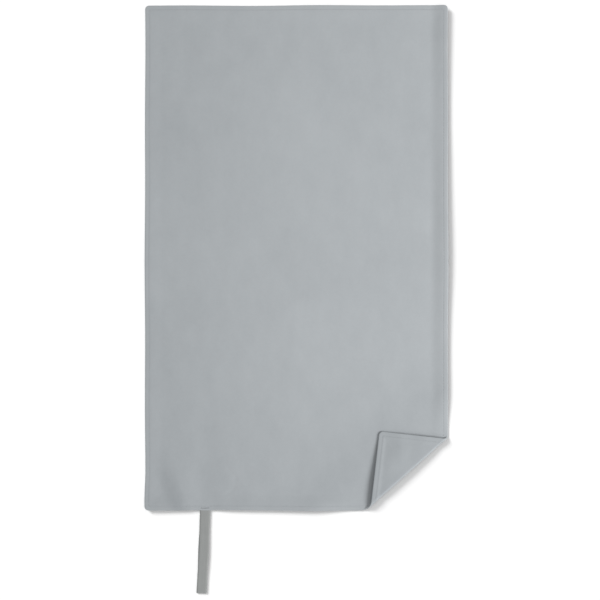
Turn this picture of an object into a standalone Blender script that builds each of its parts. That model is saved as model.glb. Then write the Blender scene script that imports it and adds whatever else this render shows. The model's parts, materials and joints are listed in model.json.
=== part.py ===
"""Quick dry travel towel lying flat, with one corner turned over and a hanging loop.

The cloth lies on z = 0. +Y runs up the towel, away from the hanging loop, and +Z points up.
Shapes are drawn about the middle of the cloth. The towel_frame empty then carries them, so
that the world origin is the middle of the whole outline, loop included, at its underside.
"""

import math

import bmesh
import bpy
from mathutils import Matrix, Vector

MM = 0.001

# Cloth
CLOTH_WIDTH = 300 * MM
CLOTH_LENGTH = 500 * MM
CLOTH_THICKNESS = 1.0 * MM
CORNER_RADIUS = 4 * MM
CORNER_STEPS = 6

# Hem: the edge turned over twice and sewn down
HEM_WIDTH = 5 * MM
HEM_THICKNESS = 2.2 * MM

# Seam thread, which runs along the inner edge of the hem
THREAD_WIDTH = 0.5 * MM
THREAD_HEIGHT = 1.2 * MM
THREAD_LIFT = 0.1 * MM

# Corner turned over to the front: where its fold crosses the two edges
FOLD_UP_SIDE_EDGE = 72 * MM
FOLD_ALONG_END_EDGE = 81 * MM
FOLD_RADIUS = 3.5 * MM
FOLD_STEPS = 8

# Hanging loop: a flat tape doubled over, with both tails sewn into the hem
TAPE_WIDTH = 10 * MM
TAPE_THICKNESS = 0.7 * MM
TAPE_SLIT = 0.3 * MM
LOOP_LENGTH = 82 * MM
LOOP_FROM_SIDE = 59.6 * MM
LOOP_TILT = math.radians(2.5)
LOOP_TURN_STEPS = 10

# Bar-tack: the block of stitches that locks the tails in the hem
TACK_WIDTH = 8 * MM
TACK_DEPTH = 1.2 * MM
TACK_PROUD = 0.1 * MM

# Clearance between separate solids
GAP = 0.3 * MM

HALF_WIDTH = CLOTH_WIDTH / 2
HALF_LENGTH = CLOTH_LENGTH / 2
SEAM_INSET = HEM_WIDTH + GAP
PANEL_INSET = SEAM_INSET + THREAD_WIDTH + GAP

# The turned corner lies on the panel, and its fold is a half round of cloth
CORNER_HINGE_Z = CLOTH_THICKNESS / 2 + FOLD_RADIUS
FOLD_START = -(FOLD_RADIUS + CLOTH_THICKNESS / 2)
FOLD_END = FOLD_START + math.pi * FOLD_RADIUS
CORNER_HINGE_M = (FOLD_START + FOLD_END) / 2
CORNER_TOP = 2 * CORNER_HINGE_Z

# The upper half folds over the lower half and clears the turned corner
MIDDLE_HINGE_Z = (CORNER_TOP + GAP + HEM_THICKNESS) / 2

# The loop folds up over the hem
LOOP_HEIGHT = 2 * TAPE_THICKNESS + TAPE_SLIT
LOOP_HINGE_Z = (HEM_THICKNESS + GAP + LOOP_HEIGHT) / 2
LOOP_START = GAP + TAPE_WIDTH / 2 * math.tan(LOOP_TILT)
LOOP_X = -HALF_WIDTH + LOOP_FROM_SIDE
LOOP_REACH = LOOP_LENGTH * math.cos(LOOP_TILT) + TAPE_WIDTH / 2 * math.sin(LOOP_TILT)
OUTLINE_CENTRE_Y = -LOOP_REACH / 2

# The fold line of the corner: a point on it, its direction and the way out to the corner
FOLD_POINT = Vector((HALF_WIDTH - FOLD_ALONG_END_EDGE, -HALF_LENGTH))
FOLD_ALONG = Vector((FOLD_ALONG_END_EDGE, FOLD_UP_SIDE_EDGE)).normalized()
FOLD_OUT = Vector((FOLD_ALONG.y, -FOLD_ALONG.x))


def clear_scene():
    """Remove every object that the scene starts with."""
    for old in list(bpy.data.objects):
        bpy.data.objects.remove(old, do_unlink=True)


def make_material(name, colour, roughness):
    """A plain cloth-like finish."""
    material = bpy.data.materials.new(name)
    material.use_nodes = True
    shader = material.node_tree.nodes["Principled BSDF"]
    shader.inputs["Base Color"].default_value = (*colour, 1.0)
    shader.inputs["Roughness"].default_value = roughness
    shader.inputs["Metallic"].default_value = 0.0
    material.diffuse_color = (*colour, 1.0)
    return material


def add_empty(name, parent, place):
    """An empty at a place given in the cloth's own coordinates."""
    empty = bpy.data.objects.new(name, None)
    bpy.context.scene.collection.objects.link(empty)
    empty.parent = parent
    empty.location = place
    return empty


def add_piece(name, mesh, material, carrier, from_cloth):
    """One named solid, drawn in cloth coordinates and carried by an empty."""
    piece = bpy.data.objects.new(name, mesh)
    mesh.materials.append(material)
    bpy.context.scene.collection.objects.link(piece)
    piece.parent = carrier
    piece.matrix_parent_inverse = from_cloth
    return piece


# Flat outlines


def cloth_outline():
    """The cloth's outline, with its rounded corners, anticlockwise from above."""
    points = []
    for quarter in range(4):
        turn = quarter * math.pi / 2
        side_x = 1 if quarter in (0, 3) else -1
        side_y = 1 if quarter in (0, 1) else -1
        centre = Vector((side_x * (HALF_WIDTH - CORNER_RADIUS), side_y * (HALF_LENGTH - CORNER_RADIUS)))
        for step in range(CORNER_STEPS + 1):
            angle = turn + step / CORNER_STEPS * math.pi / 2
            points.append(centre + CORNER_RADIUS * Vector((math.cos(angle), math.sin(angle))))
    return points


def keep(outline, point, inward):
    """The part of a convex outline on the inward side of the line through a point."""
    kept = []
    for here, after in zip(outline, outline[1:] + outline[:1]):
        depth_here = (here - point).dot(inward)
        depth_after = (after - point).dot(inward)
        if depth_here >= 0:
            kept.append(here)
        if depth_here * depth_after < 0:
            kept.append(here.lerp(after, depth_here / (depth_here - depth_after)))
    return kept


def right_of(x):
    """A limit that keeps what lies at larger x."""
    return Vector((x, 0)), Vector((1, 0))


def left_of(x):
    """A limit that keeps what lies at smaller x."""
    return Vector((x, 0)), Vector((-1, 0))


def above(y):
    """A limit that keeps what lies at larger y."""
    return Vector((0, y)), Vector((0, 1))


def below(y):
    """A limit that keeps what lies at smaller y."""
    return Vector((0, y)), Vector((0, -1))


def before_fold(distance):
    """A limit that keeps what lies on the panel's side of the corner's fold."""
    return FOLD_POINT + distance * FOLD_OUT, -FOLD_OUT


def beyond_fold(distance):
    """A limit that keeps what lies on the corner's side of its fold."""
    return FOLD_POINT + distance * FOLD_OUT, FOLD_OUT


def cut_cloth(*limits):
    """The cloth's outline cut back to some limits."""
    outline = cloth_outline()
    for point, inward in limits:
        outline = keep(outline, point, inward)
    return outline


def slab(name, outline, low, high):
    """A flat solid over an outline, between two heights."""
    shape = bmesh.new()
    floor = shape.faces.new([shape.verts.new((p.x, p.y, low)) for p in outline])
    risen = bmesh.ops.extrude_face_region(shape, geom=[floor])
    top = [item for item in risen["geom"] if isinstance(item, bmesh.types.BMVert)]
    bmesh.ops.translate(shape, vec=(0, 0, high - low), verts=top)
    bmesh.ops.remove_doubles(shape, verts=shape.verts, dist=0.001 * MM)
    return finish_mesh(name, shape)


def box_outline(centre, width, depth):
    """A rectangle about a centre."""
    half = Vector((width / 2, depth / 2))
    corners = ((-1, -1), (1, -1), (1, 1), (-1, 1))
    return [Vector((centre.x + x * half.x, centre.y + y * half.y)) for x, y in corners]


def finish_mesh(name, shape):
    """Turn the faces outward and write the mesh."""
    bmesh.ops.recalc_face_normals(shape, faces=shape.faces)
    mesh = bpy.data.meshes.new(name)
    shape.to_mesh(mesh)
    shape.free()
    return mesh


# Folded and turned shapes


def strip_solid(name, rows):
    """A solid through rows of four points each, closed at both ends."""
    shape = bmesh.new()
    rings = [[shape.verts.new(point) for point in row] for row in rows]
    for ring, following in zip(rings, rings[1:]):
        for side in range(4):
            after = (side + 1) % 4
            shape.faces.new((ring[side], ring[after], following[after], following[side]))
    shape.faces.new(rings[0])
    shape.faces.new(rings[-1])
    return finish_mesh(name, shape)


def edge_reach(distance):
    """How far the cloth runs along the fold, at a distance out from it on the flat cloth."""
    to_end_edge = distance * -FOLD_OUT.y / FOLD_ALONG.y
    to_side_edge = (FOLD_ALONG_END_EDGE - distance * FOLD_OUT.x) / FOLD_ALONG.x
    return to_end_edge, to_side_edge


def crease_rows(first, last):
    """Rows of points round the corner's fold, between two angles measured from the fold's outermost line."""
    rows = []
    for step in range(FOLD_STEPS + 1):
        angle = first + (last - first) * step / FOLD_STEPS
        start, stop = edge_reach(FOLD_START + FOLD_RADIUS * (angle + math.pi / 2))
        row = []
        for radius, reach in (
            (FOLD_RADIUS - CLOTH_THICKNESS / 2, start),
            (FOLD_RADIUS + CLOTH_THICKNESS / 2, start),
            (FOLD_RADIUS + CLOTH_THICKNESS / 2, stop),
            (FOLD_RADIUS - CLOTH_THICKNESS / 2, stop),
        ):
            out = FOLD_START + radius * math.cos(angle)
            place = FOLD_POINT + out * FOLD_OUT + reach * FOLD_ALONG
            row.append((place.x, place.y, CORNER_HINGE_Z + radius * math.sin(angle)))
        rows.append(row)
    return rows


def loop_turn_rows():
    """Rows of points round the doubled end of the loop's tape, in the loop's own coordinates."""
    outer = LOOP_HEIGHT / 2
    inner = TAPE_SLIT / 2
    rows = []
    for step in range(LOOP_TURN_STEPS + 1):
        angle = -math.pi / 2 + math.pi * step / LOOP_TURN_STEPS
        row = []
        for radius, x in (
            (inner, -TAPE_WIDTH / 2),
            (outer, -TAPE_WIDTH / 2),
            (outer, TAPE_WIDTH / 2),
            (inner, TAPE_WIDTH / 2),
        ):
            y = -(LOOP_LENGTH - outer) - radius * math.cos(angle)
            row.append((x, y, outer + radius * math.sin(angle)))
        rows.append(row)
    return rows


# Sub-assemblies


class Carrier:
    """An empty that carries pieces drawn in cloth coordinates."""

    def __init__(self, name, towel_frame, place):
        self.place = Vector(place)
        self.empty = add_empty(name, towel_frame, self.place)
        self.from_cloth = Matrix.Translation(-self.place)

    def add(self, name, mesh, material):
        """Add one solid."""
        return add_piece(name, mesh, material, self.empty, self.from_cloth)

    def add_slab(self, name, outline, low, high, material):
        """Add one flat solid."""
        return self.add(name, slab(name, outline, low, high), material)


def build_side(carrier, suffix, span, cloth, thread):
    """Both side hems and their seams on one half of the towel, between two limits in y."""
    hem_span, seam_span, fold = span
    for side, outer, inner in (("left", left_of, right_of), ("right", right_of, left_of)):
        sign = -1 if side == "left" else 1
        hem_edge = sign * (HALF_WIDTH - HEM_WIDTH)
        seam_edge = sign * (HALF_WIDTH - SEAM_INSET)
        thread_edge = sign * (HALF_WIDTH - SEAM_INSET - THREAD_WIDTH)
        hem = cut_cloth(outer(hem_edge), *hem_span, *fold)
        carrier.add_slab(f"hem_{side}_{suffix}", hem, 0, HEM_THICKNESS, cloth)
        seam = cut_cloth(inner(seam_edge), outer(thread_edge), *seam_span, *fold)
        carrier.add_slab(f"seam_{side}_{suffix}", seam, THREAD_LIFT, THREAD_LIFT + THREAD_HEIGHT, thread)


def build_upper_half(towel_frame, cloth, thread):
    """The half that folds over the other one along the middle of the towel."""
    half = Carrier("middle_fold_axis", towel_frame, (0, 0, MIDDLE_HINGE_Z))
    middle = above(GAP / 2)
    panel = cut_cloth(
        middle,
        below(HALF_LENGTH - PANEL_INSET),
        right_of(PANEL_INSET - HALF_WIDTH),
        left_of(HALF_WIDTH - PANEL_INSET),
    )
    half.add_slab("panel_upper", panel, 0, CLOTH_THICKNESS, cloth)
    half.add_slab("hem_top", cut_cloth(above(HALF_LENGTH - HEM_WIDTH)), 0, HEM_THICKNESS, cloth)
    seam = cut_cloth(
        below(HALF_LENGTH - SEAM_INSET),
        above(HALF_LENGTH - SEAM_INSET - THREAD_WIDTH),
        right_of(SEAM_INSET - HALF_WIDTH),
        left_of(HALF_WIDTH - SEAM_INSET),
    )
    half.add_slab("seam_top", seam, THREAD_LIFT, THREAD_LIFT + THREAD_HEIGHT, thread)
    hem_span = (middle, below(HALF_LENGTH - HEM_WIDTH - GAP))
    seam_span = (middle, below(HALF_LENGTH - PANEL_INSET))
    build_side(half, "upper", (hem_span, seam_span, ()), cloth, thread)


def build_lower_half(towel_frame, cloth, thread):
    """The half that carries the turned corner and the hanging loop."""
    half = Carrier("lower_half_frame", towel_frame, (0, 0, 0))
    middle = below(-GAP / 2)
    fold = before_fold(FOLD_START - GAP)
    panel = cut_cloth(
        middle,
        above(PANEL_INSET - HALF_LENGTH),
        right_of(PANEL_INSET - HALF_WIDTH),
        left_of(HALF_WIDTH - PANEL_INSET),
        fold,
    )
    half.add_slab("panel_lower", panel, 0, CLOTH_THICKNESS, cloth)
    seam = cut_cloth(
        above(SEAM_INSET - HALF_LENGTH),
        below(SEAM_INSET + THREAD_WIDTH - HALF_LENGTH),
        right_of(SEAM_INSET - HALF_WIDTH),
        fold,
    )
    half.add_slab("seam_bottom", seam, THREAD_LIFT, THREAD_LIFT + THREAD_HEIGHT, thread)
    hem_span = (middle, above(HEM_WIDTH + GAP - HALF_LENGTH))
    seam_span = (middle, above(PANEL_INSET - HALF_LENGTH))
    build_side(half, "lower", (hem_span, seam_span, (fold,)), cloth, thread)
    half.add("crease_under", strip_solid("crease_under", crease_rows(-math.pi / 2, -GAP / 2 / FOLD_RADIUS)), cloth)
    hem = cut_cloth(below(HEM_WIDTH - HALF_LENGTH), fold)
    return half, half.add_slab("hem_bottom", hem, 0, HEM_THICKNESS, cloth)


def build_turned_corner(towel_frame, cloth, thread):
    """The corner, drawn flat and then turned over about its fold."""
    middle_reach = sum(edge_reach(CORNER_HINGE_M)) / 2
    flat_place = FOLD_POINT + CORNER_HINGE_M * FOLD_OUT + middle_reach * FOLD_ALONG
    corner = Carrier("corner_fold_axis", towel_frame, (flat_place.x, flat_place.y, CORNER_HINGE_Z))
    fold = beyond_fold(FOLD_END + GAP)
    side_hem = cut_cloth(right_of(HALF_WIDTH - HEM_WIDTH), above(HEM_WIDTH + GAP - HALF_LENGTH), fold)
    end_hem = cut_cloth(below(HEM_WIDTH - HALF_LENGTH), fold)
    panel = cut_cloth(left_of(HALF_WIDTH - PANEL_INSET), above(PANEL_INSET - HALF_LENGTH), fold)
    side_seam = cut_cloth(
        left_of(HALF_WIDTH - SEAM_INSET),
        right_of(HALF_WIDTH - SEAM_INSET - THREAD_WIDTH),
        above(PANEL_INSET - HALF_LENGTH),
        fold,
    )
    end_seam = cut_cloth(
        above(SEAM_INSET - HALF_LENGTH),
        below(SEAM_INSET + THREAD_WIDTH - HALF_LENGTH),
        left_of(HALF_WIDTH - SEAM_INSET),
        fold,
    )
    corner.add_slab("corner_panel", panel, 0, CLOTH_THICKNESS, cloth)
    corner.add_slab("corner_hem_side", side_hem, 0, HEM_THICKNESS, cloth)
    corner.add_slab("corner_hem_end", end_hem, 0, HEM_THICKNESS, cloth)
    corner.add_slab("corner_seam_side", side_seam, THREAD_LIFT, THREAD_LIFT + THREAD_HEIGHT, thread)
    corner.add_slab("corner_seam_end", end_seam, THREAD_LIFT, THREAD_LIFT + THREAD_HEIGHT, thread)
    corner.empty.matrix_basis = corner.empty.matrix_basis @ Matrix.Rotation(math.pi, 4, FOLD_ALONG.to_3d())
    folded = Carrier("crease_frame", towel_frame, (flat_place.x, flat_place.y, CORNER_HINGE_Z))
    folded.add("crease_over", strip_solid("crease_over", crease_rows(GAP / 2 / FOLD_RADIUS, math.pi / 2)), cloth)


def add_cutter(name, carrier, outline, low, high):
    """A hidden solid that cuts a pocket."""
    cutter = bpy.data.objects.new(name, slab(name, outline, low, high))
    bpy.context.scene.collection.objects.link(cutter)
    cutter.parent = carrier.empty
    cutter.matrix_parent_inverse = carrier.from_cloth
    cutter.hide_render = True
    cutter.display_type = "WIRE"
    return cutter


def cut_pocket(piece, cutter):
    """Cut a piece with a hidden solid."""
    pocket = piece.modifiers.new(cutter.name, "BOOLEAN")
    pocket.operation = "DIFFERENCE"
    pocket.object = cutter


def build_loop_anchor(half, hem, tape, thread):
    """The loop's tails in their pocket in the hem, and the bar-tack that locks them."""
    tails_height = 2 * TAPE_THICKNESS
    centre = Vector((LOOP_X, HEM_WIDTH / 2 - HALF_LENGTH))
    tails = box_outline(centre, TAPE_WIDTH, HEM_WIDTH - 2 * GAP)
    pocket = box_outline(centre, TAPE_WIDTH + 2 * GAP, HEM_WIDTH + 2 * GAP)
    tack = box_outline(centre, TACK_WIDTH, TACK_DEPTH)
    slot = box_outline(centre, TACK_WIDTH + 2 * GAP, TACK_DEPTH + 2 * GAP)
    cut_pocket(hem, add_cutter("tails_pocket", half, pocket, -GAP, tails_height + GAP))
    cut_pocket(hem, add_cutter("tack_slot", half, slot, tails_height, HEM_THICKNESS + GAP))
    half.add_slab("loop_tails", tails, 0, tails_height, tape)
    half.add_slab("loop_bar_tack", tack, tails_height + GAP, HEM_THICKNESS + TACK_PROUD, thread)


def build_loop(towel_frame, tape):
    """The free part of the loop: two legs and the doubled end."""
    axis = add_empty("loop_axis", towel_frame, (LOOP_X, -HALF_LENGTH, LOOP_HINGE_Z))
    axis.rotation_euler = (0, 0, -LOOP_TILT)
    to_axis = Matrix.Translation((0, 0, -LOOP_HINGE_Z))
    leg_end = LOOP_LENGTH - LOOP_HEIGHT / 2 - GAP
    middle = Vector((0, -(LOOP_START + leg_end) / 2))
    leg = box_outline(middle, TAPE_WIDTH, leg_end - LOOP_START)
    front_low = TAPE_THICKNESS + TAPE_SLIT
    back_leg = slab("loop_back_leg", leg, 0, TAPE_THICKNESS)
    front_leg = slab("loop_front_leg", leg, front_low, front_low + TAPE_THICKNESS)
    end_turn = strip_solid("loop_end_turn", loop_turn_rows())
    for name, mesh in (
        ("loop_back_leg", back_leg),
        ("loop_front_leg", front_leg),
        ("loop_end_turn", end_turn),
    ):
        add_piece(name, mesh, tape, axis, to_axis)


def shade_round_pieces():
    """Smooth shading on the pieces that are round."""
    for name in ("crease_under", "crease_over", "loop_end_turn"):
        mesh = bpy.data.objects[name].data
        mesh.shade_smooth()
        mesh.set_sharp_from_angle(angle=math.radians(40))


def main():
    """Build the towel."""
    clear_scene()
    cloth = make_material("towel_cloth", (0.40, 0.43, 0.45), 0.95)
    thread = make_material("seam_thread", (0.36, 0.39, 0.41), 0.70)
    tape = make_material("loop_tape", (0.30, 0.32, 0.31), 0.85)
    towel_frame = add_empty("towel_frame", None, (0, -OUTLINE_CENTRE_Y, 0))
    build_upper_half(towel_frame, cloth, thread)
    half, hem = build_lower_half(towel_frame, cloth, thread)
    build_loop_anchor(half, hem, tape, thread)
    build_turned_corner(towel_frame, cloth, thread)
    build_loop(towel_frame, tape)
    shade_round_pieces()
    bpy.context.view_layer.update()


main()
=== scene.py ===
"""Quick dry travel towel: suede-like microfibre with sewn hems, a turned corner and a hanging loop."""
import json
import logging
import math
from dataclasses import dataclass, field
from enum import Enum
from typing import Any, Iterable, Mapping, Sequence

import bmesh
import bpy
import numpy as np
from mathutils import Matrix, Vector


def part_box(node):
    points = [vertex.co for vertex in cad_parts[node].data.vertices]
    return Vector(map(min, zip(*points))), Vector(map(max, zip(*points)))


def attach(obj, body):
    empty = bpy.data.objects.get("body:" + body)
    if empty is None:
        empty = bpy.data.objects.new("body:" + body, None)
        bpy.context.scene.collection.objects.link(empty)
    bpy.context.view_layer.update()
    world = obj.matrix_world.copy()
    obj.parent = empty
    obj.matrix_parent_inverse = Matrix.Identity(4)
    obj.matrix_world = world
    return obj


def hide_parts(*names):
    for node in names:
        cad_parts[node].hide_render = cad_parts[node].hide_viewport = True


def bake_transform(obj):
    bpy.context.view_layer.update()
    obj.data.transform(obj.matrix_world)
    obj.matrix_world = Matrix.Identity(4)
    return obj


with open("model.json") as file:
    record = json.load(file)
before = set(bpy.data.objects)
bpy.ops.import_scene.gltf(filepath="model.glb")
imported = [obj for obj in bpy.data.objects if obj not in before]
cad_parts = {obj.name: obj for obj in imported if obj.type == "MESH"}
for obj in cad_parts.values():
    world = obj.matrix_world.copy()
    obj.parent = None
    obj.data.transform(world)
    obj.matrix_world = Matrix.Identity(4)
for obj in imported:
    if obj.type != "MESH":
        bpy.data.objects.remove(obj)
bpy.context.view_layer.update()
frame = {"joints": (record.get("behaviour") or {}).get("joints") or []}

LOG = logging.getLogger("towel")
MM = 0.001
Points = np.ndarray


# ---------------------------------------------------------------------------------------------
# Sizes read from the frame
# ---------------------------------------------------------------------------------------------


class Body(Enum):
    """The bodies that pieces ride on."""

    LOWER = "lower_half"
    UPPER = "upper_half"
    CORNER = "turned_corner"
    LOOP = "hanging_loop"


class Face(Enum):
    """The two faces of the cloth while it lies flat."""

    FRONT = 1
    REVERSE = -1


def joint(name: str) -> Mapping[str, Any]:
    """The frame's joint of this name."""
    return next(entry for entry in frame["joints"] if entry["name"] == name)


def smooth(value: Points) -> Points:
    """Ease from 0 to 1 while the value goes from 0 to 1."""
    clipped = np.clip(value, 0.0, 1.0)
    return clipped * clipped * (3.0 - 2.0 * clipped)


def bell(distance: Points, width: float) -> Points:
    """A bell of height 1 that fades over about one width."""
    return np.exp(-np.square(distance / width))


@dataclass(frozen=True)
class Layout:
    """Where the cloth's edges, hems, folds and loop are, read from the frame."""

    left: float
    right: float
    bottom: float
    top: float
    cloth: float
    hem_width: float
    fold_point: Vector
    fold_along: Vector
    fold_out: Vector
    fold_start: float
    fold_radius: float
    middle: float
    loop_x: float
    loop_edge_y: float

    @classmethod
    def from_frame(cls) -> "Layout":
        """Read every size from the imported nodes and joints.

        Returns:
            The towel's layout in metres.
        """
        left_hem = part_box("hem_left_lower")
        right_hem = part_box("hem_right_upper")
        top_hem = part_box("hem_top")
        bottom_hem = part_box("hem_bottom")
        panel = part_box("panel_lower")
        corner = joint("corner_fold")
        swing = joint("loop_swing")
        middle = joint("middle_fold")
        along = Vector(corner["axis"]).normalized()
        out = Vector((along.y, -along.x, 0.0))
        cloth = panel[1][2] - panel[0][2]
        height = corner["pos_m"][2]
        radius = height - cloth / 2
        hinge = Vector(corner["pos_m"])
        hinge.z = 0.0
        start_from_hinge = -math.pi * radius / 2
        outermost = hinge + out * (start_from_hinge + height)
        reach = (outermost.y - bottom_hem[0][1]) / along.y
        return cls(
            left=left_hem[0][0],
            right=right_hem[1][0],
            bottom=bottom_hem[0][1],
            top=top_hem[1][1],
            cloth=cloth,
            hem_width=left_hem[1][0] - left_hem[0][0],
            fold_point=outermost - along * reach,
            fold_along=along,
            fold_out=out,
            fold_start=-height,
            fold_radius=radius,
            middle=middle["pos_m"][1],
            loop_x=swing["pos_m"][0],
            loop_edge_y=swing["pos_m"][1],
        )

    @property
    def fold_end(self) -> float:
        """How far out on the flat cloth the bend of the turned corner ends."""
        return self.fold_start + math.pi * self.fold_radius

    def edge_distance(self, x: Points, y: Points) -> Points:
        """Distance in from the nearest edge of the flat cloth.

        Args:
            x: Places across the flat cloth.
            y: Places along the flat cloth.

        Returns:
            The distances in metres, never under 0.
        """
        across = np.minimum(x - self.left, self.right - x)
        along = np.minimum(y - self.bottom, self.top - y)
        return np.maximum(np.minimum(across, along), 0.0)

    def past_fold(self, x: Points, y: Points) -> Points:
        """Distance out from the turned corner's fold line on the flat cloth."""
        point, out = self.fold_point, self.fold_out
        return (x - point.x) * out.x + (y - point.y) * out.y


# ---------------------------------------------------------------------------------------------
# The shape of the cloth
# ---------------------------------------------------------------------------------------------


@dataclass(frozen=True)
class Wave:
    """One long gentle wave in the cloth."""

    across: float
    along: float
    start: float
    height: float


@dataclass(frozen=True)
class Furrow:
    """A soft valley, or a ridge where its depth is negative, along a bent line.

    Places are measured from where the hanging loop leaves the hem.
    """

    route: tuple[tuple[float, float], ...]
    width: float
    depth: float


@dataclass(frozen=True)
class Ripple:
    """One small ripple in the line of a sewn edge."""

    height: float
    length: float
    start: float = 0.0

    def at(self, place: Points) -> Points:
        """How far the edge stands out at each place along it."""
        return self.height * np.sin(place / self.length + self.start)


@dataclass
class ClothShape:
    """Gives the height of both faces of the flat cloth and bends it into place."""

    layout: Layout
    corner_round: float = 4.0 * MM
    hem_thickness: float = 1.5 * MM
    hem_fall: float = 13.0 * MM
    hem_step_start: float = 4.75 * MM
    hem_step_run: float = 3.6 * MM
    side_curl: float = 2.3 * MM
    end_curl: float = 1.8 * MM
    curl_run: float = 17.0 * MM
    curl_change: float = 0.25
    side_curl_wave: float = 37.0 * MM
    end_curl_wave: float = 31.0 * MM
    end_curl_gap: float = 26.0 * MM
    stitch_inset: float = 4.2 * MM
    stitch_groove: float = 0.07 * MM
    stitch_groove_width: float = 0.55 * MM
    soft_radius: float = 2.7 * MM
    crisp_radius: float = 2.1 * MM
    crisp_from: float = 50.0 * MM
    crisp_to: float = 104.0 * MM
    corner_rest: float = 2.8 * MM
    corner_drop_start: float = 11.0 * MM
    corner_drop_run: float = 38.0 * MM
    corner_trim: float = 2.2 * MM
    corner_trim_run: float = 12.0 * MM
    corner_trim_reach: float = 58.0 * MM
    valley_in: float = 35.0 * MM
    valley_up: float = 68.0 * MM
    valley_depth: float = 0.35 * MM
    valley_width: float = 6.5 * MM
    ridge_in: float = 13.0 * MM
    ridge_height: float = 0.30 * MM
    ridge_width: float = 6.0 * MM
    loop_swell: float = 0.20 * MM
    loop_swell_width: float = 6.5 * MM
    loop_rise: float = 0.3 * MM
    loop_rise_reach: float = 42.0 * MM
    loop_rest: float = 0.92
    loop_rest_width: float = 15.0 * MM
    loop_rest_up: float = 115.0 * MM
    loop_rest_fade: float = 40.0 * MM
    loop_pull: float = 0.9 * MM
    loop_pull_width: float = 7.0 * MM
    loop_push: float = 0.5 * MM
    loop_push_width: float = 22.0 * MM
    loop_pull_reach: float = 9.0 * MM
    pucker: float = 1.2 * MM
    pucker_run: float = 19.0 * MM
    pucker_tail: float = 46.0 * MM
    pucker_up: float = 66.0 * MM
    pucker_fade: float = 34.0 * MM
    pucker_line: tuple[tuple[float, float], ...] = (
        (-0.034, 0.052),
        (-0.029, 0.036),
        (-0.023, 0.020),
        (-0.012, 0.000),
    )
    waves: tuple[Wave, ...] = (
        Wave(0.170, 0.330, 0.6, 0.34 * MM),
        Wave(-0.105, 0.240, 2.1, 0.20 * MM),
        Wave(0.061, 0.120, 4.0, 0.10 * MM),
        Wave(0.300, -0.095, 1.2, 0.14 * MM),
    )
    furrows: tuple[Furrow, ...] = (
        Furrow(
            ((0.007, 0.003), (0.0155, 0.0108), (0.0283, 0.0208), (0.0303, 0.0327), (0.0233, 0.0416)),
            width=2.0 * MM,
            depth=0.13 * MM,
        ),
        Furrow(((0.005, 0.004), (0.0074, 0.006), (0.0094, 0.0168)), width=1.6 * MM, depth=0.18 * MM),
        Furrow(((-0.006, 0.005), (-0.012, 0.004), (-0.020, 0.005)), width=1.8 * MM, depth=0.30 * MM),
    )
    side_ripples: tuple[Ripple, ...] = (Ripple(0.22 * MM, 23 * MM), Ripple(0.20 * MM, 61 * MM, 1.0))
    side_in: float = 0.15 * MM
    end_ripples: tuple[Ripple, ...] = (Ripple(0.20 * MM, 19 * MM, 0.7), Ripple(0.25 * MM, 47 * MM))
    flare: float = 0.9 * MM
    flare_up: float = 13.0 * MM
    flare_length: float = 16.0 * MM
    flare_reach: float = 30.0 * MM
    rest_lift: float = 0.10 * MM
    # Painted shade and light laid into the cloth's colour where the light falls unevenly: darker along the
    # bottom edge, towards the left and towards both ends, lighter upwards, a dark patch beside the loop's
    # pucker line, a darker band on the panel beside the turned corner and a lighter strip by the right edge.
    painted_shade_middle: float = 0.52
    painted_shade_left: float = 0.06
    painted_shade_left_run: float = 0.55
    painted_shade_ends: float = 0.03
    painted_shade_rise: float = 0.055
    painted_shade_lower: float = 0.005
    painted_shade_patch: float = 0.07
    painted_shade_corner: float = 0.06
    painted_light_right: float = 0.05

    def waviness(self, x: Points, y: Points) -> Points:
        """Height of the reverse face above the table, before the hems are counted.

        Args:
            x: Places across the flat cloth.
            y: Places along the flat cloth.

        Returns:
            Heights in metres, never under the table.
        """
        layout = self.layout
        from_loop, up = x - layout.loop_x, y - layout.bottom
        rise = np.zeros_like(x)
        for wave in self.waves:
            phase = 2 * math.pi * (x / wave.across + y / wave.along) + wave.start
            rise += wave.height * (1.0 + np.sin(phase)) / 2
        rise += self.loop_rise * bell(np.hypot(from_loop, up), self.loop_rise_reach)
        for furrow in self.furrows:
            rise -= furrow.depth * bell(self.distance_to_route(x, y, furrow.route)[0], furrow.width)
        distance, side = self.distance_to_route(x, y, self.pucker_line)
        bank = 1.0 - smooth(distance / np.where(side > 0, self.pucker_run, self.pucker_tail))
        rise += self.pucker * bank * smooth((self.pucker_up - up) / self.pucker_fade)
        side_curl = self.side_curl * (1.0 + self.curl_change * np.sin(y / self.side_curl_wave))
        rise += side_curl * smooth(1.0 - (layout.right - x) / self.curl_run)
        end_curl = self.end_curl * (1.0 + self.curl_change * np.sin(x / self.end_curl_wave))
        at_loop = bell(from_loop, self.end_curl_gap)
        rise += end_curl * (1.0 - at_loop) * smooth(1.0 - up / self.curl_run)
        under_loop = bell(from_loop, self.loop_rest_width)
        rise *= 1.0 - self.loop_rest * under_loop * smooth((self.loop_rest_up - up) / self.loop_rest_fade)
        calm = smooth((-6 * MM - layout.past_fold(x, y)) / (34 * MM))
        return self.rest_lift + np.maximum(rise, 0.0) * calm

    def distance_to_route(
        self,
        x: Points,
        y: Points,
        route: Sequence[tuple[float, float]],
    ) -> tuple[Points, Points]:
        """Distance from each place to a bent line that is measured from the loop.

        Args:
            x: Places across the flat cloth.
            y: Places along the flat cloth.
            route: The corners of the line.

        Returns:
            The distances, and 1 where a place is on the line's left as it runs down the cloth, or else 0.
        """
        nearest, side = np.full_like(x, np.inf), np.zeros_like(x)
        origin = (self.layout.loop_x, self.layout.bottom)
        for start, stop in zip(route, route[1:]):
            off_x, off_y = x - start[0] - origin[0], y - start[1] - origin[1]
            run_x, run_y = stop[0] - start[0], stop[1] - start[1]
            share = np.clip((off_x * run_x + off_y * run_y) / (run_x**2 + run_y**2), 0.0, 1.0)
            distance = np.hypot(off_x - share * run_x, off_y - share * run_y)
            side = np.where(distance < nearest, (run_x * off_y - run_y * off_x < 0).astype(float), side)
            nearest = np.minimum(nearest, distance)
        return nearest, side

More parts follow.
